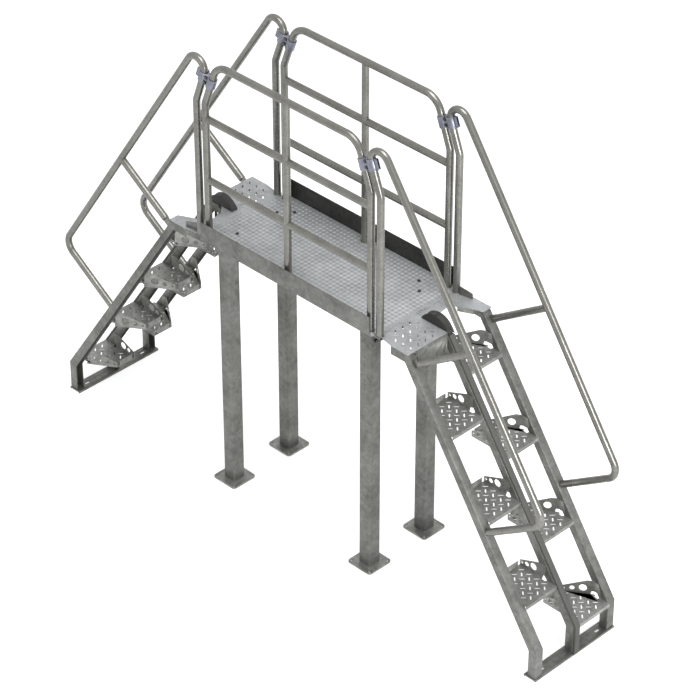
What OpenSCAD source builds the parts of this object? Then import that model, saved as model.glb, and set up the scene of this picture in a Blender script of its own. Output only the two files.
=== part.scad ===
// Crossover ladder: a raised deck on four legs, with a guard rail on each side and
// an alternating-tread stair with two handrails at each end.
// Millimetres. X runs along the crossover, Y across it, Z is up. The origin is on the
// floor, midway between the four legs. The second stair is the first one turned half
// a turn about Z.

/* [Platform] */
// Height of the deck above the floor
deck_h = 1524; // [1220:2:2440]
// Length of the deck between the two landings
deck_len = 1224; // [1040:2:2400]
// Width of the deck and of both landings
deck_w = 604; // [540:2:900]
// Thickness of the deck and landing plates
plate_t = 4.8; // [3:0.1:8]
// Height of the toe boards above the deck
toe_h = 104; // [90:1:150]
// Thickness of the toe boards
toe_t = 4.8; // [3:0.1:8]
// Depth of the deck frame under the plate
frame_h = 52; // [40:1:80]
// Width of one frame member
frame_w = 38; // [25:1:60]

/* [Legs] */
// Distance between leg centres along the crossover
leg_dx = 1016; // [800:2:1200]
// Distance between leg centres across the crossover
leg_dy = 406.4; // [300:0.2:480]
// Side of a leg
leg_w = 76.2; // [50:0.1:100]
// Corner radius of a leg
leg_r = 6; // [2:0.5:10]
// Side of a base plate
base_w = 165; // [150:1:200]
// Thickness of a base plate
base_t = 9.5; // [6:0.5:16]
// Corner radius of a base plate
base_r = 19; // [6:1:25]
// Distance between anchor holes in a base plate
base_pitch = 130; // [110:1:140]
// Diameter of an anchor hole
base_hole = 14; // [8:0.5:20]

/* [Guard rails] */
// Outer diameter of all tubes
tube_d = 38.1; // [30:0.1:45]
// Height of the top rail above the deck, on its centre line
rail_top = 1046; // [960:1:1120]
// Height of the upper mid rail above the deck
rail_mid = 710; // [600:1:760]
// Height of the lower mid rail above the deck
rail_low = 354; // [280:1:400]
// Distance of the guard planes from the middle of the deck
guard_y = 270; // [240:1:275]
// Distance from a guard end post to the end of the deck
post_in = 37; // [30:1:80]
// Height above the deck where the end posts start to lean
lean_from = 792; // [780:1:830]
// Lean of the end posts above that height, in degrees
lean = 20; // [12:1:26]
// Bend radius of the guard top corners
guard_r = 102; // [70:1:120]

/* [Handrails] */
// Distance from a guard end post to its handrail post
post_gap = 63; // [50:1:80]
// Distance of a handrail above the stringer edge, square to the slope
rail_up = 436; // [380:1:500]
// Bend radius over the top of a handrail
loop_r = 59; // [50:1:70]
// Bend radius at the foot of a handrail
foot_r = 76; // [50:1:120]
// Distance along the slope from the stair foot to the lower handrail leg
leg_up = 649; // [500:1:760]
// Distance along the slope from the stair foot to the strut
strut_up = 1552; // [1400:1:1560]
// Thickness of a tube end where it is flattened
crimp_t = 12; // [8:1:20]
// Height of a clamp along the posts
clamp_h = 60; // [40:1:80]
// Thickness of a clamp jaw
clamp_t = 6; // [4:0.5:10]

/* [Stairs] */
// Number of equal rises from floor to deck
rises = 8; // [7:1:10]
// Slope of the stairs, in degrees
slope = 56; // [50:0.5:62]
// Distance from the end of the deck to the landing edge
landing_len = 240; // [200:1:320]
// Outer face of the outer stringers, from the stair centre line
stringer_y = 292; // [260:1:320]
// Section of the outer stringers
stringer_w = 50.8; // [40:0.1:60]
// Width of the centre stringer
centre_w = 38.1; // [30:0.1:50]
// Wall of a stringer channel
stringer_t = 4.8; // [3:0.1:6]
// Setback of the stringer edge behind the tread edges
nose_out = 14; // [6:0.5:24]
// Height of the upright foot of each stringer
stringer_foot = 185; // [140:1:240]
// Length of the foot plate along the crossover
foot_len = 76; // [60:1:100]
// Thickness of the foot plate
foot_t = 6; // [4:0.5:10]
// Height of the foot plate lips
foot_lip = 12; // [8:1:20]
// Length of an anchor slot in the foot plate
slot_len = 32; // [20:1:40]
// Width of an anchor slot
slot_w = 14; // [10:0.5:18]

/* [Treads] */
// Depth of a tread from front edge to back edge
tread_len = 246; // [200:1:260]
// Thickness of the tread plate
tread_t = 3.4; // [2:0.1:5]
// Height of the flange under the front edge
nose_h = 20; // [14:1:30]
// Height of the side flanges at the back of a tread
flange_lo = 31; // [26:1:45]
// Height of the side flanges at the stringer
flange_hi = 84; // [60:1:100]
// Length of the full-width front part of a tread
wing_len = 105; // [90:1:130]
// Width of a tread at its back edge
back_w = 130; // [100:1:160]
// Width of the slit beside the back lip
slit_w = 20; // [10:1:30]
// Depth of the landing riser beside the centre stringer
riser_h = 150; // [120:1:170]
// Depth of the landing riser beside the outer stringer
riser_side = 82; // [60:1:120]
// Depth of the flange along the cut-back edge of the landing
cut_flange = 24; // [16:1:40]
// Height of the upright end plate beside the handrail post
end_plate_h = 50; // [40:1:70]

/* [Centre divider] */
// Width of the rubber strip on the centre stringer
strip_w = 34; // [24:1:40]
// Projection of the rubber strip
strip_out = 14; // [8:1:20]
// Radius of the curved foot divider
divider_r = 100; // [80:1:120]
// Height of the curved foot divider above the landing
divider_h = 57; // [40:1:70]
// Width of the curved foot divider
divider_w = 40; // [30:1:60]

/* [Hidden] */
$fn = 48;
galv = "#7f7f78";
galv_deck = "#b4b6b8";
zinc = "#8f93a3";
rubber = "#4a4a45";
seat = 0.3;                       // clearance under a seated piece
tube_r = tube_d / 2;
deck_z = deck_h - plate_t;        // underside of the deck plate
leg_top = deck_z - frame_h;       // top of a leg, under the frame
end_x = deck_len / 2;             // end of the deck
nose_x = end_x + landing_len;     // landing edge
rise = deck_h / rises;
run = rise / tan(slope);
cs = cos(slope);
sn = sin(slope);
edge_x = nose_x - nose_out;       // stringer front edge at deck height
foot_x = edge_x + (deck_h - stringer_foot) / tan(slope);  // front of the upright foot
knee_z = deck_h - plate_t;        // top of the stringers
knee_x = edge_x + plate_t / tan(slope);
post_x = end_x - post_in;         // guard end post
hr_x = post_x + post_gap;         // handrail post
half_y = deck_w / 2;
in_y = centre_w / 2;              // inner side of a stair bay
out_y = stringer_y - stringer_w;  // outer side of a stair bay

// ---- helpers ----

// Rectangle w by h about its centre, with true round corners
module rounded(w, h, r) {
  square([w - 2 * r, h], center = true);
  square([w, h - 2 * r], center = true);
  for (x = [-1, 1], y = [-1, 1]) translate([x * (w / 2 - r), y * (h / 2 - r)]) circle(r);
}

// Profile drawn in x and z, made t thick from y0 towards +Y
module side_plate(y0, t) { translate([0, y0 + t, 0]) rotate([90, 0, 0]) linear_extrude(t) children(); }

// Round bar from a to b, both [x, z], in the plane y
module bar(a, b, y, r = tube_r) {
  d = b - a;
  translate([a[0], y, a[1]]) rotate([0, atan2(d[0], d[1]), 0]) cylinder(r = r, h = norm(d));
}

function unit(v) = v / norm(v);
// Signed turn at b on the way from a through b to c, in degrees
function turn(a, b, c) =
  let (u = unit(b - a), v = unit(c - b)) atan2(u[0] * v[1] - u[1] * v[0], u * v);
// Distance from a corner to the start of its bend
function cut(a, b, c, r) = r * tan(abs(turn(a, b, c)) / 2);

// Bend of a tube at corner b, in the plane y
module bend(a, b, c, r, y, d = tube_r) {
  t = turn(a, b, c);
  s = sign(t);
  u = unit(b - a);
  p = b - u * cut(a, b, c, r);
  o = p + s * r * [-u[1], u[0]];
  a0 = atan2(p[1] - o[1], p[0] - o[0]);
  translate([o[0], y, o[1]]) rotate([90, 0, 0]) rotate([0, 0, s > 0 ? a0 : a0 + t])
    rotate_extrude(angle = abs(t), $fn = 96) translate([r, 0]) circle(d);
}

// Bent tube through the points pts in the plane y, with bend radii rs at the inner points
module bent_tube(pts, rs, y) {
  n = len(pts);
  q = function(i) (i < 1 || i > n - 2) ? 0 : cut(pts[i - 1], pts[i], pts[i + 1], rs[i]);
  for (i = [0 : n - 2]) let (u = unit(pts[i + 1] - pts[i]))
    bar(pts[i] + u * q(i), pts[i + 1] - u * q(i + 1), y);
  for (i = [1 : n - 2]) let (a = pts[i - 1], b = pts[i], c = pts[i + 1]) {
    bend(a, b, c, rs[i], y);
    ring(b - unit(b - a) * q(i), b - a, y);
    ring(b + unit(c - b) * q(i), c - b, y);
  }
}

// Weld ring at p on a tube that runs along d, where a straight meets a bend
module ring(p, d, y) bar(p - unit(d), p + unit(d), y, tube_r + 0.2);

module flip(on) { if (on) rotate([0, 0, 180]) children(); else children(); }

// ---- platform ----

module deck_plate() color(galv_deck)
  translate([-end_x, -half_y, deck_z]) cube([deck_len, deck_w, plate_t]);

frame_y = (leg_dy + leg_w) / 2;   // outer side of the deck beams
module deck_beam(s) color(galv)
  translate([-end_x, s > 0 ? frame_y - frame_w : -frame_y, leg_top])
    cube([deck_len, frame_w, frame_h]);
// Cross members between the two beams: one at each end, each leg pair and the middle
module cross_members() color(galv) for (x = [-1, -leg_dx / deck_len, 0, leg_dx / deck_len, 1])
  translate([x * (end_x - frame_w / 2) - frame_w / 2, -frame_y + frame_w, leg_top])
    cube([frame_w, 2 * (frame_y - frame_w), frame_h]);

toe_len = deck_len - 24;
module toe_board(s) color(galv)
  translate([-toe_len / 2, s > 0 ? half_y : -half_y - toe_t, deck_z])
    cube([toe_len, toe_t, toe_h + plate_t]);

leg_at = [[-1, -1], [1, -1], [1, 1], [-1, 1]];
module at_leg(i) translate([leg_at[i][0] * leg_dx / 2, leg_at[i][1] * leg_dy / 2, 0]) children();
module leg(i) color(galv) at_leg(i)
  translate([0, 0, base_t]) linear_extrude(leg_top - base_t) rounded(leg_w, leg_w, leg_r);
module base_plate(i) color(galv) at_leg(i) difference() {
  linear_extrude(base_t) rounded(base_w, base_w, base_r);
  for (x = [-1, 1], y = [-1, 1]) translate([x * base_pitch / 2, y * base_pitch / 2, -1])
    cylinder(d = base_hole, h = base_t + 2);
}

// ---- guard rails ----

top_z = deck_h + rail_top;
lean_z = deck_h + lean_from;
corner_x = post_x - (top_z - lean_z) * tan(lean);
module guard_frame(s) color(galv) bent_tube(
  [[-post_x, deck_h], [-post_x, lean_z], [-corner_x, top_z],
   [corner_x, top_z], [post_x, lean_z], [post_x, deck_h]],
  [0, 60, guard_r, guard_r, 60, 0], s * guard_y);
module mid_post(s) color(galv) difference() {
  bar([0, deck_h], [0, top_z], s * guard_y);
  bar([-100, top_z], [100, top_z], s * guard_y);
}
module mid_rails(s) color(galv) for (z = [rail_mid, rail_low]) difference() {
  bar([-post_x, deck_h + z], [post_x, deck_h + z], s * guard_y);
  for (x = [-post_x, 0, post_x])
    bar([x, deck_h + z - 60], [x, deck_h + z + 60], s * guard_y);
}

// ---- handrails, drawn at the near stair and turned round for the far one ----

// Point at the distance d up the slope from the foot of the stringer edge, off it by h
function on_slope(d, h) =
  [foot_x - d * cs + h * sn, stringer_foot + d * sn + h * cs];
rail_a = on_slope(leg_up, rail_up);
lean_len = 600;
lean_dir = [-sin(lean), cos(lean)];
hr_lean = [hr_x, lean_z];
// Where the leaning part and the slope would meet
cross = let (u = lean_dir, v = [-cs, sn], w = rail_a - hr_lean,
             k = (w[0] * v[1] - w[1] * v[0]) / (u[0] * v[1] - u[1] * v[0])) hr_lean + u * k;
bis = unit(unit(hr_lean - cross) + unit(rail_a - cross));
gap_ang = acos(unit(hr_lean - cross) * unit(rail_a - cross)) / 2;
// Centre of the turn over the top
top_c = cross + bis * loop_r / sin(gap_ang);
tan_len = loop_r / tan(gap_ang);
top_p = cross + unit(hr_lean - cross) * tan_len;
top_q = cross + unit(rail_a - cross) * tan_len;
module over_top(y) {
  a0 = atan2(top_q[1] - top_c[1], top_q[0] - top_c[0]);
  translate([top_c[0], y, top_c[1]]) rotate([90, 0, 0]) rotate([0, 0, a0])
    rotate_extrude(angle = 180 - 2 * gap_ang, $fn = 96) translate([loop_r, 0]) circle(tube_r);
}
module handrail(s) color(galv) {
  bent_tube([[hr_x, deck_h], hr_lean, top_p], [0, 60, 0], s * guard_y);
  over_top(s * guard_y);
  ring(top_p, top_p - hr_lean, s * guard_y);
  ring(top_q, rail_a - top_q, s * guard_y);
  bent_tube([top_q, rail_a, on_slope(leg_up, seat)], [0, foot_r, 0], s * guard_y);
}
module strut(s) color(galv) difference() {
  a = on_slope(strut_up, seat);
  b = on_slope(strut_up, rail_up);
  union() {
    bar(a + 40 * unit(b - a), b, s * guard_y);
    translate([a[0], s * guard_y, a[1]]) rotate([0, atan2((b - a)[0], (b - a)[1]), 0])
      translate([-tube_r, -crimp_t / 2, 0]) cube([tube_d, crimp_t, 44]);
  }
  bar(on_slope(strut_up - 200, rail_up), on_slope(strut_up + 200, rail_up), s * guard_y, tube_r);
}

// Clamp joining a guard end post to its handrail post
clamp_at = (deck_h + rail_top + lean_z) / 2 + 22;
module clamp(s) color(zinc) {
  xm = post_x + post_gap / 2 - (clamp_at - lean_z) * tan(lean);
  w = post_gap * cos(lean);
  translate([xm, s * guard_y, clamp_at]) rotate([0, -lean, 0]) difference() {
    union() {
      for (x = [-w / 2, w / 2]) translate([x, 0, -clamp_h / 2])
        cylinder(r = tube_r + clamp_t, h = clamp_h);
      cube([w, tube_d * 0.7, clamp_h], center = true);
    }
    for (x = [-w / 2, w / 2]) translate([x, 0, -clamp_h])
      cylinder(r = tube_r, h = 2 * clamp_h);
  }
}

// ---- stairs ----

// Side view of a stringer: upright foot, slope and a short level top, d deep
module stringer_side(d, back) polygon([
  [foot_x, foot_lip + seat], [foot_x, stringer_foot], [knee_x, knee_z],
  [knee_x - back, knee_z], [knee_x - back, knee_z - d * 0.94],
  [knee_x - d * tan((90 - slope) / 2 + 0) * 0.94, knee_z - d * 0.94],
  [foot_x - d, stringer_foot - d * tan((90 - slope) / 2)], [foot_x - d, foot_lip + seat]]);
module outer_stringer(s) stringer(s * (stringer_y - stringer_w / 2), stringer_w, stringer_w, 110);
module centre_stringer() stringer(0, centre_w, stringer_w, 60);
// Channel of width w with its web to the front, centred on y
module stringer(y, w, d, back) color(galv) difference() {
  side_plate(y - w / 2, w) stringer_side(d, back);
  side_plate(y - w / 2 + stringer_t, w - 2 * stringer_t)
    translate([-stringer_t / sn, -stringer_t * 0]) polygon([
      [foot_x, foot_lip - 1], [foot_x, stringer_foot], [knee_x, knee_z - stringer_t],
      [knee_x - back - 50, knee_z - stringer_t], [knee_x - back - 50, knee_z - d - 50],
      [knee_x - 140, knee_z - d - 50], [foot_x - d - 60, stringer_foot - 60],
      [foot_x - d - 60, foot_lip - 1]]);
}

// Shallow channel under the three stringers, lips down, with an anchor slot at each side
foot_mid = foot_x + 4 - foot_len / 2;
slot_y = out_y - 36;
module foot_plate() color(galv) difference() {
  translate([foot_mid - foot_len / 2, -stringer_y - 4, 0])
    cube([foot_len, 2 * stringer_y + 8, foot_lip]);
  translate([foot_mid - foot_len / 2 + foot_t, -stringer_y - 5, -1])
    cube([foot_len - 2 * foot_t, 2 * stringer_y + 10, foot_lip - foot_t + 1]);
  for (y = [-1, 1]) translate([foot_mid, y * slot_y, -1])
    linear_extrude(foot_lip + 2) {
      square([slot_w, slot_len - slot_w], center = true);
      for (e = [-1, 1]) translate([0, e * (slot_len - slot_w) / 2]) circle(d = slot_w);
    }
}

// Plan of a tread for the +Y side, front edge on x = 0
function tread_plan(y0, y1) = [[0, y0], [0, y1], [-wing_len, y1], [-tread_len, y0 + back_w], [-tread_len, y0]];
wing_ang = atan2(out_y - in_y - back_w, tread_len - wing_len);
wing_l = norm([out_y - in_y - back_w, tread_len - wing_len]);
// Upright side flange, l long from the back, low at the back and high at the stringer,
// with holes at the distances at and a relief at the fold beside the stringer
module flange_side(l, at) difference() {
  polygon([[0, -tread_t], [0, flange_lo], [l * 0.78, flange_hi], [l, flange_hi],
           [l, 20], [l - 12, 20], [l - 18, -tread_t]]);
  for (i = [0 : 2]) translate([at[i] * l, [19, 27, 36][i]]) circle([6, 13, 20.5][i]);
}
// Opening in the tread plate beside a stringer, y0 to y0 + 12
module relief(y0) translate([-wing_len + 9, y0, -tread_t - 1]) linear_extrude(tread_t + 2)
  polygon([[0, 0], [33, 0], [27, 12], [6, 12]]);
module tread(i) {
  right = i % 2 == 1;
  color(galv) translate([nose_x + i * run, 0, deck_h - i * rise])
    mirror([0, right ? 0 : 1, 0]) {
      y0 = in_y + 0.0;
      difference() {
        translate([0, 0, -tread_t]) linear_extrude(tread_t) polygon(tread_plan(y0, out_y));
        relief(y0);
        translate([0, 2 * out_y - 12, 0]) mirror([0, 1, 0]) relief(out_y - 12);
      }
      translate([-tread_t, y0, -nose_h]) cube([tread_t, out_y - y0, nose_h]);
      // inner flange, beside the centre stringer
      translate([-tread_len, 0, 0]) side_plate(y0, tread_t)
        flange_side(tread_len - wing_len + 26, [0.09, 0.28, 0.54]);
      // outer flange, along the slanting side
      translate([-tread_len, y0 + back_w, 0]) rotate([0, 0, wing_ang])
        side_plate(-tread_t, tread_t) flange_side(wing_l, [0.09, 0.34, 0.665]);
      // ear of the outer flange, beside the outer stringer
      translate([-wing_len - 0.5, out_y - 0.6, 0]) side_plate(-tread_t, tread_t)
        polygon([[0, 22], [43, 22], [43, 36], [30, flange_hi - 4], [0, flange_hi - 4]]);
      // back lip
      translate([-tread_len, y0 + slit_w, -tread_t])
        cube([tread_t, back_w - 2 * slit_w, flange_lo + tread_t]);
    }
}

// Landing plate with a riser under its front half and a cut-back other half
cut_a = [nose_x - 121, out_y - 65];
cut_b = [nose_x - 14, out_y - 13];
module landing() color(galv_deck) {
  translate([0, 0, deck_z]) linear_extrude(plate_t) polygon([
    [end_x, -half_y + 26], [end_x + 40, -half_y + 26], [nose_x - 112, -stringer_y], [nose_x, -stringer_y],
    [nose_x, in_y - centre_w], [nose_x - 100, in_y], [nose_x - 143, in_y + 50],
    [nose_x - 155, out_y - 87], cut_a, cut_b, [nose_x, out_y - 3], [nose_x, stringer_y],
    [nose_x - 112, stringer_y], [end_x + 40, half_y - 26], [end_x, half_y - 26]]);
  // riser with three drain slots along its sloping lower edge
  difference() {
    translate([nose_x - plate_t, 0, 0]) rotate([90, 0, 90]) linear_extrude(plate_t) polygon([
      [-out_y, deck_z + 1], [-in_y, deck_z + 1], [-in_y, deck_z - riser_h], [-out_y, deck_z - riser_side]]);
    for (k = [0.03, 0.66, 0.93]) translate([nose_x, -out_y + 6 + k * (out_y - in_y - 12),
      deck_z - riser_side + 38 - k * (riser_h - riser_side)]) cube([3 * plate_t, 8, 20], center = true);
  }
  // flange under the cut-back edge
  translate([cut_a[0], cut_a[1], deck_z - cut_flange])
    rotate([0, 0, atan2(cut_b[1] - cut_a[1], cut_b[0] - cut_a[0])])
      cube([norm(cut_b - cut_a) - 34, plate_t, cut_flange + 1]);
  // flange bolted to the end of the deck frame
  translate([end_x, -frame_y, leg_top]) cube([plate_t, 2 * frame_y, frame_h + 1]);
}
// Upright plate on the landing beside the handrail post, round at its outer end
module end_plate() color(galv) translate([hr_x + tube_r + 6, guard_y - 12, deck_h])
  rotate([0, 0, 10.5]) side_plate(0, toe_t) polygon([[0, 0], [0, end_plate_h],
    [74, end_plate_h - 17], [79.5, end_plate_h - 19.5], [82, end_plate_h - 25], [82, 0]]);

// Curved divider between the two sides of the stair: it rises from the landing and
// turns down over the edge to the rubber strip
strip_n = [sn, cs];               // direction square to the strip, outwards
strip_top = [knee_x + (strip_out + seat) / sn, knee_z];
div_z = deck_h + divider_h - divider_r;
div_x = (strip_top * strip_n - divider_r - div_z * cs) / sn;
div_from = 180 - asin((divider_r - divider_h + seat) / divider_r);
module foot_divider() color(rubber) side_plate(-divider_w / 2, divider_w) polygon(concat(
  [for (k = [0 : 32]) let (a = div_from + (90 - slope - div_from) * k / 32)
    [div_x + divider_r * cos(a), div_z + divider_r * sin(a)]],
  [strip_top + 11.5 / sn * [cs, -sn], [nose_x + seat, knee_z - 11.5], [nose_x + seat, deck_h + seat]]));
module rubber_strip() color(rubber)
  side_plate(-strip_w / 2, strip_w) polygon([
    [foot_x + seat, foot_lip + seat], [foot_x + seat + strip_out, foot_lip + seat],
    [foot_x + seat + strip_out, stringer_foot + strip_out * tan((90 - slope) / 2)],
    [knee_x + (strip_out + seat) / sn + 8, knee_z - 12], [knee_x + seat + 8, knee_z - 12],
    [foot_x + seat, stringer_foot]]);

deck_plate();
deck_beam(-1);  // front_beam
deck_beam(1);  // back_beam
cross_members();
toe_board(-1);  // front_toe_board
toe_board(1);  // back_toe_board
leg(0);  // leg_1
leg(1);  // leg_2
leg(2);  // leg_3
leg(3);  // leg_4
base_plate(0);  // base_plate_1
base_plate(1);  // base_plate_2
base_plate(2);  // base_plate_3
base_plate(3);  // base_plate_4
guard_frame(-1);  // front_guard_frame
guard_frame(1);  // back_guard_frame
mid_post(-1);  // front_mid_post
mid_post(1);  // back_mid_post
mid_rails(-1);  // front_mid_rails
mid_rails(1);  // back_mid_rails
handrail(-1);  // handrail_1
handrail(1);  // handrail_2
flip(true) handrail(-1);  // handrail_3
flip(true) handrail(1);  // handrail_4
for (s = [-1, 1]) strut(s);  // near_struts
flip(true) for (s = [-1, 1]) strut(s);  // far_struts
for (s = [-1, 1]) clamp(s);  // near_clamps
flip(true) for (s = [-1, 1]) clamp(s);  // far_clamps
landing();  // near_landing
end_plate();  // near_end_plate
outer_stringer(-1);  // near_front_stringer
outer_stringer(1);  // near_back_stringer
centre_stringer();  // near_centre_stringer
rubber_strip();  // near_rubber_strip
foot_divider();  // near_foot_divider
foot_plate();  // near_foot_plate
tread(1);  // near_tread_1
tread(2);  // near_tread_2
tread(3);  // near_tread_3
tread(4);  // near_tread_4
tread(5);  // near_tread_5
tread(6);  // near_tread_6
tread(7);  // near_tread_7
flip(true) landing();  // far_landing
flip(true) end_plate();  // far_end_plate
flip(true) outer_stringer(1);  // far_front_stringer
flip(true) outer_stringer(-1);  // far_back_stringer
flip(true) centre_stringer();  // far_centre_stringer
flip(true) rubber_strip();  // far_rubber_strip
flip(true) foot_divider();  // far_foot_divider
flip(true) foot_plate();  // far_foot_plate
flip(true) tread(1);  // far_tread_1
flip(true) tread(2);  // far_tread_2
flip(true) tread(3);  // far_tread_3
flip(true) tread(4);  // far_tread_4
flip(true) tread(5);  // far_tread_5
flip(true) tread(6);  // far_tread_6
flip(true) tread(7);  // far_tread_7
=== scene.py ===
# %% [markdown]
# # Finishing a crossover ladder
# A crossover ladder is a small steel bridge: a deck on four legs, guard rails, and a
# steep alternating-tread stair at each end. The engineering model gives every plate
# and tube its exact place. Here it gets what the eye needs: punched treads, a lugged
# deck, rounded bends, bolts, weld beads and hot-dip galvanised steel.

# %% Load the fixed frame
import math
import bmesh
import bpy
from mathutils import Matrix, Vector


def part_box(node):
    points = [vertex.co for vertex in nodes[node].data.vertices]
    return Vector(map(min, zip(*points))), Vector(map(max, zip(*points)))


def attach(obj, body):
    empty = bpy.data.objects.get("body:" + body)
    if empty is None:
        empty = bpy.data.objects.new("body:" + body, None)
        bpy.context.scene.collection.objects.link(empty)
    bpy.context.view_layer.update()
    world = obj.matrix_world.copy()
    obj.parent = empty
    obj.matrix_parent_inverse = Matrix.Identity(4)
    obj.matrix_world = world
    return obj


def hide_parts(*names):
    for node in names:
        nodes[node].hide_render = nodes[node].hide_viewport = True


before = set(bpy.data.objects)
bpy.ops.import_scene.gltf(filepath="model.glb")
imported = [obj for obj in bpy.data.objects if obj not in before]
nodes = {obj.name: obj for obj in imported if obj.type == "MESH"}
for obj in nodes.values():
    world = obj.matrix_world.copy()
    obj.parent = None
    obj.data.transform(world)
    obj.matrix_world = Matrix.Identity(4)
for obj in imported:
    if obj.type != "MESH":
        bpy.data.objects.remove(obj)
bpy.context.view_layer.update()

scene = bpy.context.scene

# %% [markdown]
# ## Camera and light
# The view looks down on a corner at the angle of an isometric drawing, from far off
# with a long lens, so parallel edges stay almost parallel. Zinc is a metal, so what it
# reflects matters as much as the lamps: a large soft lamp overhead, one at each side
# and a pale grey world light the tops, while shadows stay under the steps.

# %% Camera
bpy.ops.object.select_all(action="DESELECT")
bpy.ops.object.camera_add(location=(9.1174, -8.9545, 10.0198),
                          rotation=(math.radians(90 - 35.2644), 0, math.radians(45)))
camera = bpy.context.object
camera.data.lens = 157.3
camera.data.sensor_width = 36
scene.camera = camera
print("camera", tuple(round(c, 3) for c in camera.location))


# %% A helper for nodes and one for colours
def linear(hex_colour):
    """An sRGB hex colour as the linear values that a shader wants."""
    rgb = [int(hex_colour[i:i + 2], 16) / 255 for i in (1, 3, 5)]
    return [c / 12.92 if c < 0.04045 else ((c + 0.055) / 1.055) ** 2.4 for c in rgb] + [1.0]


def add(tree, kind, settings=None, **links):
    """Adds a node: settings are its own fields, links are values or sockets for inputs."""
    made = tree.nodes.new(kind)
    for field, value in (settings or {}).items():
        setattr(made, field, value)
    for name, value in links.items():
        by_index = name[0] == "i" and name[1:].isdigit()
        socket = made.inputs[int(name[1:]) if by_index else name.replace("_", " ")]
        if isinstance(value, bpy.types.NodeSocket):
            tree.links.new(value, socket)
        else:
            socket.default_value = value
    return made


# %% Which rays see the white background
def seen_directly(tree):
    """1 for camera, mirror and see-through rays, 0 for the rays that light the object."""
    path = add(tree, "ShaderNodeLightPath")
    total = path.outputs["Is Camera Ray"]
    for kind in ("Is Glossy Ray", "Is Transmission Ray"):
        larger = add(tree, "ShaderNodeMath", {"operation": "MAXIMUM"}, i0=total, i1=path.outputs[kind])
        total = larger.outputs[0]
    return total


# %% World and lamps
world = bpy.data.worlds.new("pale_studio")
scene.world = world
world.use_nodes = True
sky = world.node_tree
sky.nodes.clear()
seen = seen_directly(sky)
dim = add(sky, "ShaderNodeBackground", Color=linear("#eceef0"), Strength=0.62)
bright = add(sky, "ShaderNodeBackground", Color=(1, 1, 1, 1), Strength=1.0)
mixed = add(sky, "ShaderNodeMixShader", Fac=seen, i1=dim.outputs[0], i2=bright.outputs[0])
add(sky, "ShaderNodeOutputWorld", Surface=mixed.outputs[0])


def lamp(name, place, aim, size, watts):
    """A square soft box at place that faces aim."""
    bpy.ops.object.light_add(type="AREA", location=place)
    made = bpy.context.object
    made.name = name
    made.data.size = size
    made.data.energy = watts
    made.rotation_euler = (Vector(aim) - Vector(place)).to_track_quat("-Z", "Y").to_euler()
    return made


lamp("overhead_softbox", (1.0, -0.5, 6.5), (0, 0, 1.0), 3.0, 175)
lamp("right_softbox", (6.5, -1.5, 2.6), (0.3, 0, 1.2), 1.8, 250)
lamp("left_softbox", (-2.0, -6.5, 2.6), (0, 0, 1.2), 2.5, 20)
scene.view_settings.view_transform = "Standard"

# %% [markdown]
# ## Floor
# A very large pale plane stands in for the studio floor. It isn't part of the object.
# Its camera side is nearly white, so it keeps only the soft shadow under the ladder.

# %% Floor
bpy.ops.mesh.primitive_plane_add(size=60, location=(0, 0, -0.0005))
floor = bpy.context.object
floor.name = "studio_floor"
paper = bpy.data.materials.new("white_paper")
paper.use_nodes = True
tree = paper.node_tree
tree.nodes.clear()
diffuse = add(tree, "ShaderNodeBsdfDiffuse", Color=linear("#9a9a9a"))
white = add(tree, "ShaderNodeBsdfDiffuse", Color=linear("#f4f4f4"))
glow = add(tree, "ShaderNodeEmission", Color=(1, 1, 1, 1), Strength=0.62)
both = add(tree, "ShaderNodeAddShader", i0=white.outputs[0], i1=glow.outputs[0])
pick = add(tree, "ShaderNodeMixShader", Fac=seen_directly(tree),
           i1=diffuse.outputs[0], i2=both.outputs[0])
add(tree, "ShaderNodeOutputMaterial", Surface=pick.outputs[0])
floor.data.materials.append(paper)

# %% [markdown]
# ## Hot-dip galvanised steel
# Steel dipped in molten zinc comes out with a thin crust of zinc crystals, called
# spangle, 8 to 25 mm across. New, it is bright; after some weeks of weather it goes
# matt and grey, with darker runs where the zinc drained. So the recipe is a half
# metallic grey: large soft clouds for the weathering, small cells for the spangle, and
# a very shallow bump. Tubes, plates and folded sheet come from different batches, and
# each gets its own grey.

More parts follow.
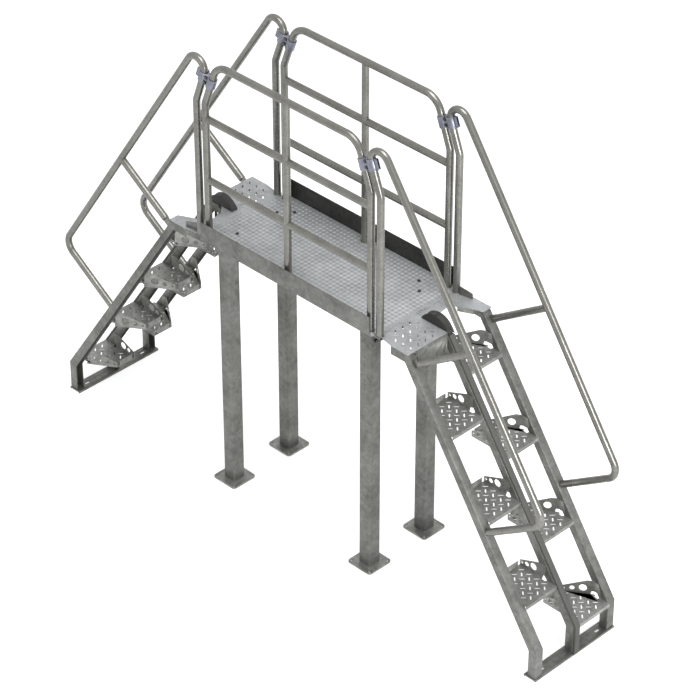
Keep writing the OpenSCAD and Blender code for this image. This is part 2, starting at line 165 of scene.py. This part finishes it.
# %% Galvanised finishes
def galvanised(name, pale, middle, dark, spangle_mm, rough, metal=0.7, bump_mm=0.12):
    """Weathered zinc: clouds 120 mm across, spangle cells of spangle_mm, grain of 2 mm."""
    made = bpy.data.materials.new(name)
    made.use_nodes = True
    t = made.node_tree
    shader = t.nodes["Principled BSDF"]
    place = add(t, "ShaderNodeTexCoord").outputs["Object"]
    clouds = add(t, "ShaderNodeTexNoise", Vector=place, Scale=8.0, Detail=4.0, Roughness=0.6)
    cells = add(t, "ShaderNodeTexVoronoi", Vector=place, Scale=1000 / spangle_mm, Randomness=1.0)
    grain = add(t, "ShaderNodeTexNoise", Vector=place, Scale=500.0, Detail=2.0)
    tint = add(t, "ShaderNodeSeparateColor", i0=cells.outputs["Color"])
    mix = add(t, "ShaderNodeMath", {"operation": "MULTIPLY_ADD"}, i0=tint.outputs[0], i1=0.22,
              i2=clouds.outputs[0])
    ramp = add(t, "ShaderNodeValToRGB", Fac=mix.outputs[0])
    ramp.color_ramp.elements[0].position = 0.36
    ramp.color_ramp.elements[0].color = linear(dark)
    ramp.color_ramp.elements[1].position = 0.86
    ramp.color_ramp.elements[1].color = linear(pale)
    between = ramp.color_ramp.elements.new(0.6)
    between.color = linear(middle)
    t.links.new(ramp.outputs[0], shader.inputs["Base Color"])
    shine = add(t, "ShaderNodeMapRange", i0=mix.outputs[0], i1=0.3, i2=0.9, i3=rough + 0.08, i4=rough - 0.06)
    t.links.new(shine.outputs[0], shader.inputs["Roughness"])
    shader.inputs["Metallic"].default_value = metal
    height = add(t, "ShaderNodeMath", {"operation": "MULTIPLY_ADD"}, i0=grain.outputs[0], i1=0.5,
                 i2=tint.outputs[1])
    bump = add(t, "ShaderNodeBump", Strength=0.35, Distance=bump_mm / 1000, Height=height.outputs[0])
    t.links.new(bump.outputs[0], shader.inputs["Normal"])
    return made


steel = galvanised("galvanised_rolled_steel", "#81817d", "#71716d", "#60605c", 18, 0.48)
tube = galvanised("galvanised_steel_tube", "#85847f", "#7b7a75", "#6e6d69", 12, 0.29, 0.75)
# a darker grey for the side of a toe board that faces the deck: painted shade
painted_shade_steel = galvanised("painted_shade_kick_plate", "#4c4c49", "#40403e", "#343432", 18, 0.55)
# the pale grey of a landing's top: painted light
landing_plate = galvanised("galvanised_landing_plate", "#b6b8b9", "#a8aaab", "#949697", 14, 0.5, 0.45)
tread_metal = galvanised("galvanised_folded_sheet", "#a2a29e", "#8f8f8b", "#797975", 14, 0.45)

# tread plate: its lugs repeat every 25.4 mm along both edges; the lugs that lie one way are
# painted lighter and the ones that lie the other way darker, a painted highlight and painted shade
plate = galvanised("galvanised_deck_plate", "#bcbebf", "#b0b2b3", "#a0a2a3", 14, 0.52, 0.4)
t = plate.node_tree
deck_low, deck_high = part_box("deck_plate")
lug_step = 0.0254
place = add(t, "ShaderNodeTexCoord").outputs["Object"]
axes = add(t, "ShaderNodeSeparateXYZ", Vector=place)
waves = []
for axis in (0, 1):
    turns = add(t, "ShaderNodeMath", {"operation": "MULTIPLY_ADD"}, i0=axes.outputs[axis],
                i1=2 * math.pi / lug_step, i2=-2 * math.pi * (deck_low[axis] + 0.012) / lug_step)
    waves.append(add(t, "ShaderNodeMath", {"operation": "COSINE"}, i0=turns.outputs[0]))
grid = add(t, "ShaderNodeMath", {"operation": "ADD"}, i0=waves[0].outputs[0], i1=waves[1].outputs[0])
# painted highlight on the lugs turned 45 degrees, painted shade on the lugs turned -45 degrees
painted_lug_light_and_shade = add(t, "ShaderNodeMapRange", i0=grid.outputs[0], i1=-1.6, i2=1.2, i3=0.72, i4=1.08)
shader = t.nodes["Principled BSDF"]
clean = shader.inputs["Base Color"].links[0].from_socket
shaded = add(t, "ShaderNodeVectorMath", {"operation": "SCALE"}, i0=clean, Scale=painted_lug_light_and_shade.outputs[0])
t.links.new(shaded.outputs[0], shader.inputs["Base Color"])
zinc = galvanised("bright_zinc_clamp", "#8f919c", "#7f818c", "#6b6d77", 5, 0.4, 0.8, 0.05)
bolt_zinc = galvanised("black_zinc_bolt", "#5c5c5a", "#4c4c4a", "#3a3a38", 3, 0.42, 0.8, 0.03)

# %% [markdown]
# ## Black rubber
# The divider and the strip on the middle stringer are moulded rubber that keeps feet
# apart. Rubber isn't metal: it is rough, with a fine cast texture and grey dust.

# %% Rubber
def moulded(name, dark, dusty):
    """Rubber with dust in clouds 70 mm across and moulded ribs 8 mm apart along the stair."""
    made = bpy.data.materials.new(name)
    made.use_nodes = True
    t = made.node_tree
    shader = t.nodes["Principled BSDF"]
    place = add(t, "ShaderNodeTexCoord").outputs["Object"]
    dust = add(t, "ShaderNodeTexNoise", Vector=place, Scale=14.0, Detail=5.0)
    ramp = add(t, "ShaderNodeValToRGB", Fac=dust.outputs[0])
    ramp.color_ramp.elements[0].color = linear(dark)
    ramp.color_ramp.elements[1].color = linear(dusty)
    t.links.new(ramp.outputs[0], shader.inputs["Base Color"])
    shader.inputs["Roughness"].default_value = 0.62
    axes = add(t, "ShaderNodeSeparateXYZ", Vector=place)
    turns = add(t, "ShaderNodeMath", {"operation": "MULTIPLY"}, i0=axes.outputs["Y"], i1=2 * math.pi / 0.008)
    ribs = add(t, "ShaderNodeMath", {"operation": "SINE"}, i0=turns.outputs[0])
    bump = add(t, "ShaderNodeBump", Strength=0.6, Distance=0.0008, Height=ribs.outputs[0])
    t.links.new(bump.outputs[0], shader.inputs["Normal"])
    return made


rubber = moulded("moulded_black_rubber", "#1c1c1b", "#383835")
# the strip gets a paler copy of the black rubber: painted light on its top
painted_light_rubber = moulded("painted_light_strip_rubber", "#464643", "#5e5e59")


# %% [markdown]
# ## Giving the frame its finish
# A CAD solid whose shape is already right keeps it and only changes material: legs,
# tubes, rails, struts and cross members. The others get a copy with more detail later.

# %% Finish the CAD solids
def finish_for(name):
    if "rubber" in name:
        return painted_light_rubber
    if "divider" in name:
        return rubber
    if name.endswith("clamps"):
        return zinc
    if name == "deck_plate":
        return plate
    if name.endswith("landing"):
        return landing_plate
    if "tread" in name or name.startswith("base_plate"):
        return tread_metal
    if any(word in name for word in ("handrail", "guard", "mid_", "struts")):
        return tube
    return steel


for name, solid in nodes.items():
    if not solid.material_slots:
        solid.data.materials.append(finish_for(name))
    for one in solid.material_slots:
        one.material = finish_for(name)
print(len(nodes), "solids finished")


# %% [markdown]
# ## Working copies
# A folded plate never has a knife edge: the bend has a radius that catches the light.
# So plates are copied from the frame, their loose triangles are joined, flat faces are
# merged, and a Bevel modifier rounds the sharp edges. The copy then stands in for the
# solid it came from.

# %% Sizes that several pieces share
ENDS = (("near", 1), ("far", -1))  # each stair, and the way it faces along X
POST_Y = 0.27                      # middle of the post tubes, from the middle of the deck
WELD_GAP = 0.00002                 # corners nearer than this are one corner
FLAT = math.radians(1)             # neighbours flatter than this are one face


# %% Helpers for modelling
def only(obj):
    """Selects obj alone and makes it active."""
    bpy.ops.object.select_all(action="DESELECT")
    obj.select_set(True)
    bpy.context.view_layer.objects.active = obj


def working_copy(name):
    """A clean copy of a CAD solid, with shared corners and whole flat faces."""
    mesh = nodes[name].data.copy()
    made = bpy.data.objects.new(name + "_made", mesh)
    scene.collection.objects.link(made)
    made.data.materials.clear()
    made.data.materials.append(finish_for(name))
    only(made)
    bpy.ops.object.mode_set(mode="EDIT")
    bpy.ops.mesh.select_all(action="SELECT")
    bpy.ops.mesh.remove_doubles(threshold=WELD_GAP)
    bpy.ops.mesh.dissolve_limited(angle_limit=FLAT)
    bpy.ops.object.mode_set(mode="OBJECT")
    return made


def whole_faces(obj, joined):
    """Splits faces into triangles before a cut, or joins flat neighbours again after it."""
    only(obj)
    bpy.ops.object.mode_set(mode="EDIT")
    bpy.ops.mesh.select_all(action="SELECT")
    if joined:
        bpy.ops.mesh.remove_doubles(threshold=WELD_GAP)
        bpy.ops.mesh.dissolve_limited(angle_limit=FLAT)
    else:
        bpy.ops.mesh.quads_convert_to_tris()
    bpy.ops.object.mode_set(mode="OBJECT")


def rounded(obj, width, steps=2, corner=40):
    """Rounds the edges sharper than corner degrees."""
    only(obj)
    bevel = obj.modifiers.new("round", "BEVEL")
    bevel.width = width
    bevel.segments = steps
    bevel.limit_method = "ANGLE"
    bevel.angle_limit = math.radians(corner)
    bevel.harden_normals = False
    bpy.ops.object.modifier_apply(modifier="round")


def punched(obj, cutter):
    """Cuts the cutter's shape out of obj."""
    only(obj)
    cut = obj.modifiers.new("punch", "BOOLEAN")
    cut.operation = "DIFFERENCE"
    cut.solver = "EXACT"
    cut.object = cutter
    bpy.ops.object.modifier_apply(modifier="punch")


def stamp(group, mesh, place):
    """Adds a copy of mesh to group, moved by the matrix place."""
    start = len(group.verts)
    group.from_mesh(mesh)
    group.verts.ensure_lookup_table()
    bmesh.ops.transform(group, matrix=place, verts=group.verts[start:])


def object_from(group, name):
    """A new object from a group of copies."""
    made = bpy.data.objects.new(name, bpy.data.meshes.new(name))
    scene.collection.objects.link(made)
    group.to_mesh(made.data)
    group.free()
    return made


def done(obj, slot, *replaced):
    """Smooths obj, sets it on the frame and lets it stand for the solids named."""
    only(obj)
    bpy.ops.object.shade_smooth_by_angle(angle=math.radians(32))
    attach(obj, "root")
    if replaced:
        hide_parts(*replaced)


# %% [markdown]
# ## Folded and rolled steel with rounded bends
# Stringers, deck beams, toe boards, base, foot and end plates only need rounded edges.
# A bevel stays narrower than half the plate, or the rounded edges run into each other.
# The side of a toe board that faces the deck gets a darker grey: painted shade.

# %% Round the steel sections
for name in nodes:
    width = (0.0021 if name.endswith("stringer") else 0.003 if name.endswith("beam")
             else 0.0012 if "toe_board" in name or "foot_plate" in name or "end_plate" in name
             else 0.0015 if name.startswith("base_plate") else 0)
    if width:
        piece = working_copy(name)
        rounded(piece, width)
        if "toe_board" in name:
            inward = 1 if name.startswith("front") else -1
            # the side that faces the deck gets the darker grey: painted shade
            piece.data.materials.append(painted_shade_steel)
            for face in piece.data.polygons:
                face.material_index = 1 if face.normal.y * inward > 0.9 else 0
        done(piece, "galvanised_steel", name)
print("rounded steel sections made")

# %% [markdown]
# ## The punch tool
# Treads and landings are punched with slots 30 mm long and 7 mm wide, set at 45 degrees
# to the stair and turned by a right angle from one to the next, like basket weave. A
# press does this with one tool many times over, and so do we: one slot is modelled,
# copied over the plate on a 36 mm grid, and the copies cut the plate in one go.

# %% One slot of the punch
bpy.ops.object.select_all(action="DESELECT")
bpy.ops.mesh.primitive_cylinder_add(vertices=12, radius=0.0035, depth=0.02)
punch = bpy.context.object
punch.name = "punch"
bpy.ops.object.mode_set(mode="EDIT")
cage = bmesh.from_edit_mesh(punch.data)
for corner in cage.verts:
    if corner.co.x > 0:
        corner.co.x += 0.0115
    elif corner.co.x < 0:
        corner.co.x -= 0.0115
bmesh.update_edit_mesh(punch.data)
bpy.ops.object.mode_set(mode="OBJECT")
slot_mesh = punch.data
print("slot", [round(c * 1000, 1) for c in punch.dimensions], "mm")


def inside(point, outline, margin):
    """True if point is inside the convex outline by margin; the outline turns left."""
    for i, a in enumerate(outline):
        b = outline[(i + 1) % len(outline)]
        ex, ey = b[0] - a[0], b[1] - a[1]
        if (ex * (point[1] - a[1]) - ey * (point[0] - a[0])) / math.hypot(ex, ey) < margin:
            return False
    return True


def punch_set(name, outline, z):
    """Slots in basket weave that fit inside outline with a margin left all round."""
    pitch, half, margin, made = 0.036, 0.015, 0.006, []
    u = Vector((1, 1)) / math.sqrt(2)
    v = Vector((-1, 1)) / math.sqrt(2)
    middle = Vector((sum(p[0] for p in outline), sum(p[1] for p in outline))) / len(outline)
    for i in range(-9, 10):
        for j in range(-9, 10):
            at = middle + u * i * pitch + v * j * pitch
            along = v if (i + j) % 2 else u
            ends = [at + along * half * s for s in (-1, 1)]
            if all(inside(e, outline, margin) for e in ends):
                angle = math.atan2(along.y, along.x)
                made.append(Matrix.Translation((at.x, at.y, z)) @ Matrix.Rotation(angle, 4, "Z"))
    joined = bmesh.new()
    for place in made:
        stamp(joined, slot_mesh, place)
    return object_from(joined, name), len(made)


def cut_with(piece, tool):
    """Cuts piece with tool, rounds its edges and throws the tool away."""
    whole_faces(piece, False)
    punched(piece, tool)
    whole_faces(piece, True)
    rounded(piece, 0.0004, 1, 60)
    bpy.data.objects.remove(tool)


# %% [markdown]
# ## Treads
# Each tread is one folded sheet: a slotted step with a front lip, and upright flanges
# with three round holes that bolt to the stringers. Odd treads sit on one side of the
# middle stringer and even ones on the other, so each foot finds its own step.

# %% Punch the treads
tread_length = 0.246     # nose to back edge
flange_height = 0.084    # the flange above the step
tool_lift = 0.00013      # keeps the tool's corners off the plate's own planes
total = 0
for end, way in ENDS:
    for i in range(1, 8):
        name = "%s_tread_%d" % (end, i)
        low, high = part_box(name)
        nose = high[0] if way > 0 else low[0]
        side = 1 if (low[1] + high[1]) > 0 else -1
        inner, outer = sorted((abs(low[1]), abs(high[1])))
        back = nose - way * tread_length
        top = high[2] - flange_height
        shape = [(nose, side * inner), (nose, side * outer), (nose - way * 0.062, side * outer),
                 (nose - way * 0.105, side * (outer - 0.012)),
                 (back, side * (inner + 0.127)), (back, side * (inner + 0.003))]
        if way * side < 0:
            shape.reverse()
        tool, count = punch_set("tread_tool", shape, top + tool_lift)
        piece = working_copy(name)
        cut_with(piece, tool)
        done(piece, "galvanised_tread", name)
        total += count
print(total, "slots punched in 14 treads")

# %% [markdown]
# ## Landings
# A landing is the top step. Its front half is punched like a tread. The other half is
# cut back, so that the foot going to the first tread has room. Along the joint with the
# deck run plain short slots that shed water.

# %% Punch the landings
for end, way in ENDS:
    name = end + "_landing"
    low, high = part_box(name)
    top = high[2]
    nose = high[0] if way > 0 else low[0]
    joint = low[0] if way > 0 else high[0]
    shape = [(joint + way * 0.036, -way * 0.245), (joint + way * 0.11, -way * POST_Y),
             (nose - way * 0.004, -way * POST_Y), (nose - way * 0.004, -way * 0.024),
             (joint + way * 0.036, -way * 0.024)]
    tool, count = punch_set("landing_tool", shape, top + tool_lift)
    drain = bmesh.new()
    drain.from_mesh(tool.data)
    for k in range(17):
        # three slots, a plain stretch of 170 mm, and then the rest
        along = -0.225 + 0.0165 * k + (0.17 if k > 2 else 0)
        spot = Matrix.Translation((joint + way * 0.022, way * along, top))
        stamp(drain, slot_mesh, spot @ Matrix.Diagonal((0.6, 0.7, 1, 1)))
    drain.to_mesh(tool.data)
    drain.free()
    piece = working_copy(name)
    cut_with(piece, tool)
    # the top keeps the pale landing grey and the faces below get the darker steel grey: painted light on the
    # top, painted shade on the riser and edges
    piece.data.materials.append(steel)
    for face in piece.data.polygons:
        face.material_index = 0 if face.center.z > top - 0.006 else 1
    done(piece, "galvanised_plate", name)
    print(name, count, "slots")
bpy.data.objects.remove(punch)

# %% [markdown]
# ## Tread plate deck
# The deck is tread plate: rolled steel with small raised lugs that grip a wet boot. The
# lugs are 15 mm long and stand about 1 mm proud, at 45 degrees to the edges, each turned
# by a right angle from its neighbours. One lug is modelled with a domed top, an Array
# modifier repeats it, and the lugs that would stand under a post or bolt are taken away.

# %% Deck plate
piece = working_copy("deck_plate")
rounded(piece, 0.0012, 2)
done(piece, "galvanised_plate", "deck_plate")

# %% Lugs
top = deck_high[2]
halves = []
for shift, turn in ((0, 45), (lug_step / 2, -45)):
    bpy.ops.object.select_all(action="DESELECT")
    start = (deck_low[0] + 0.012 + shift, deck_low[1] + 0.012 + shift, top + 0.0002)
    bpy.ops.mesh.primitive_cylinder_add(vertices=8, radius=0.5, depth=0.0012, location=start,
                                        rotation=(0, 0, math.radians(turn)))
    lug = bpy.context.object
    lug.scale = (0.015, 0.0048, 1)
    bpy.ops.object.transform_apply(location=True, rotation=True, scale=True)
    bpy.ops.object.mode_set(mode="EDIT")
    cage = bmesh.from_edit_mesh(lug.data)
    for corner in cage.verts:
        if corner.co.z > top + 0.0003:
            corner.co.x = start[0] + (corner.co.x - start[0]) * 0.6
            corner.co.y = start[1] + (corner.co.y - start[1]) * 0.6
    bmesh.update_edit_mesh(lug.data)
    bpy.ops.object.mode_set(mode="OBJECT")
    for axis, size in ((0, deck_high[0] - start[0]), (1, deck_high[1] - start[1])):
        row = lug.modifiers.new("row", "ARRAY")
        row.use_relative_offset = False
        row.use_constant_offset = True
        row.constant_offset_displace = (lug_step, 0, 0) if axis == 0 else (0, lug_step, 0)
        row.count = int((size - 0.008) / lug_step) + 1
        bpy.ops.object.modifier_apply(modifier="row")
    halves.append(lug)
bpy.ops.object.select_all(action="DESELECT")
for half in halves:
    half.select_set(True)
bpy.context.view_layer.objects.active = halves[0]
bpy.ops.object.join()
lugs = bpy.context.object
lugs.name = "deck_lugs"
signs = [(sx, sy) for sx in (-1, 1) for sy in (-1, 1)]
feet = [(x, y, 0.03) for x in (-0.575, 0, 0.575) for y in (-POST_Y, POST_Y)]
screws = [(sx * x, sy * y, 0.013) for x, y in ((0.508, 0.14), (0.444, 0.204)) for sx, sy in signs]
bpy.ops.object.mode_set(mode="EDIT")
cage = bmesh.from_edit_mesh(lugs.data)
gone = [c for c in cage.verts if any(math.hypot(c.co.x - x, c.co.y - y) < r for x, y, r in feet + screws)]
loose = set(gone)
while True:
    more = {e.other_vert(c) for c in loose for e in c.link_edges} - loose
    if not more:
        break
    loose |= more
bmesh.ops.delete(cage, geom=list(loose), context="VERTS")
bmesh.update_edit_mesh(lugs.data)
bpy.ops.object.mode_set(mode="OBJECT")
lugs.data.materials.append(plate)
done(lugs, "galvanised_plate")
print(len(lugs.data.polygons), "lug faces")

# %% [markdown]
# ## Rubber divider
# The curved divider is a moulded hood: a thick rounded rim over a sunken side. Its side
# faces are inset and pushed in a little, and then the edges are rounded. The strip that
# it stands on is only rounded.

# %% Divider and strip
for end in ("near", "far"):
    name = end + "_foot_divider"
    piece = working_copy(name)
    only(piece)
    bpy.ops.object.mode_set(mode="EDIT")
    cage = bmesh.from_edit_mesh(piece.data)
    for face in cage.faces:
        face.select = abs(face.normal.y) > 0.9
    cage.select_flush_mode()
    bmesh.update_edit_mesh(piece.data)
    bpy.ops.mesh.inset(thickness=0.009, depth=-0.006, use_even_offset=True)
    bpy.ops.object.mode_set(mode="OBJECT")
    rounded(piece, 0.0015, 2, 50)
    done(piece, "rubber", name)
    piece = working_copy(end + "_rubber_strip")
    rounded(piece, 0.003, 2)
    done(piece, "rubber", end + "_rubber_strip")
print("rubber parts made")

# %% [markdown]
# ## Clamps
# Each clamp is a pair of pressed jaws round both tubes. The gap between the jaws and
# the two bolts through them are what makes it read as a clamp and not as a block.

# %% Clamp jaws
for end in ("near", "far"):
    name = end + "_clamps"
    piece = working_copy(name)
    rounded(piece, 0.0015, 2, 50)
    done(piece, "zinc_clamp", name)

# %% Clamp lugs: the flat ends of the jaws, which stick out past the handrail post
lean = math.radians(20)
lug_reach = 0.0296 + 0.019 + 0.015  # half the post spacing, half a tube, and the lug's middle
lugs = bmesh.new()
bpy.ops.object.select_all(action="DESELECT")
bpy.ops.mesh.primitive_cube_add(size=1)
lug = bpy.context.object
lug.dimensions = (0.022, 0.004, 0.056)
bpy.ops.object.transform_apply(location=True, rotation=True, scale=True)
rounded(lug, 0.0018, 2)
for end, way in ENDS:
    low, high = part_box(end + "_clamps")
    middle = Vector(((low[0] + high[0]) / 2, 0, (low[2] + high[2]) / 2))
    across = Vector((way * math.cos(lean), 0, math.sin(lean)))
    for side in (-1, 1):
        for jaw in (-0.006, 0.006):
            spot = middle + across * lug_reach + Vector((0, side * POST_Y + jaw, 0))
            stamp(lugs, lug.data, Matrix.Translation(spot) @ Matrix.Rotation(-way * lean, 4, "Y"))
ears = object_from(lugs, "clamp_lugs")
ears.data.materials.append(zinc)
done(ears, "zinc_clamp")
bpy.data.objects.remove(lug)

# %% [markdown]
# ## Bolts
# One hex bolt with its washer is modelled at the origin: a six-sided cylinder whose top
# is inset and raised to a chamfer, and a thin washer. Copies go on the clamps, the
# deck, the tops of the legs and the ends of the deck.

# %% Model one bolt
bpy.ops.object.select_all(action="DESELECT")
bpy.ops.mesh.primitive_cylinder_add(vertices=6, radius=0.0105, depth=0.006, location=(0, 0, 0.0048))
head = bpy.context.object
bpy.ops.object.mode_set(mode="EDIT")
cage = bmesh.from_edit_mesh(head.data)
for face in cage.faces:
    face.select = face.normal.z > 0.9
cage.select_flush_mode()
bmesh.update_edit_mesh(head.data)
bpy.ops.mesh.inset(thickness=0.0015)
bpy.ops.transform.translate(value=(0, 0, 0.0012))
bpy.ops.object.mode_set(mode="OBJECT")
bpy.ops.object.select_all(action="DESELECT")
bpy.ops.mesh.primitive_cylinder_add(vertices=20, radius=0.0125, depth=0.0018, location=(0, 0, 0.0009))
washer = bpy.context.object
rounded(washer, 0.0004, 1)
head.select_set(True)
bpy.context.view_layer.objects.active = head
bpy.ops.object.join()
bolt = bpy.context.object
bpy.ops.object.transform_apply(location=True, rotation=True, scale=True)
bolt_mesh = bolt.data
bolt_mesh.materials.clear()
bolt_mesh.materials.append(bolt_zinc)


def bolts(name, spots, scale=1.0):
    """A bolt at each (place, direction of its head), joined into one piece."""
    group = bmesh.new()
    for place, way in spots:
        turn = Vector(way).to_track_quat("Z", "Y").to_matrix().to_4x4()
        stamp(group, bolt_mesh, Matrix.Translation(place) @ turn @ Matrix.Scale(scale, 4))
    made = object_from(group, name)
    made.data.materials.append(bolt_zinc)
    done(made, "galvanised_steel")


# %% Place the bolts
bolts("deck_bolts", [((x, y, top), (0, 0, 1)) for x, y, r in screws], 0.75)
spots = []
for end, way in ENDS:
    low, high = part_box(end + "_clamps")
    cx, cz = (low[0] + high[0]) / 2, (low[2] + high[2]) / 2
    for side in (-1, 1):
        for up in (-0.016, 0.016):
            for face in (-1, 1):
                place = (cx - way * up * math.sin(lean), side * POST_Y + face * 0.0133,
                         cz + up * math.cos(lean))
                spots.append((place, (0, face, 0)))
bolts("clamp_bolts", spots, 0.8)
spots = []
for i in range(4):
    low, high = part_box("leg_%d" % (i + 1))
    way = 1 if high[0] > 0 else -1
    spots.append(((high[0] if way > 0 else low[0], (low[1] + high[1]) / 2, 1.416), (way, 0, 0)))
bolts("leg_bolts", spots)
spots = []
for end, way in ENDS:
    plate_x = deck_high[0] if way > 0 else deck_low[0]
    for y in (-0.18, -0.06, 0.06, 0.18):
        spots.append(((plate_x + way * 0.0048, y, 1.492), (way, 0, 0)))
bolts("landing_bolts", spots)
bpy.data.objects.remove(bolt)
print("bolts placed")

# %% [markdown]
# ## Weld beads
# Every post is welded to the plate it stands on. A weld bead is a small uneven ring of
# metal in the corner, so a thin torus is added round each foot and roughened.

# %% Post foot welds
bpy.ops.object.select_all(action="DESELECT")
bpy.ops.mesh.primitive_torus_add(major_radius=0.0195, minor_radius=0.0026,
                                 major_segments=36, minor_segments=6)
ring = bpy.context.object
bpy.ops.object.mode_set(mode="EDIT")
cage = bmesh.from_edit_mesh(ring.data)
for corner in cage.verts:
    angle = math.atan2(corner.co.y, corner.co.x)
    corner.co.z *= 1 + 0.25 * math.sin(11 * angle)
bmesh.update_edit_mesh(ring.data)
bpy.ops.object.mode_set(mode="OBJECT")
beads = bmesh.new()
end_posts = [(sx * x, sy * POST_Y) for x in (0.575, 0.638) for sx, sy in signs]
for x, y in end_posts + [(0, -POST_Y), (0, POST_Y)]:
    stamp(beads, ring.data, Matrix.Translation((x, y, top + 0.0004)))
welds = object_from(beads, "post_welds")
welds.data.materials.append(steel)
done(welds, "galvanised_steel")
bpy.data.objects.remove(ring)
print("welds made")
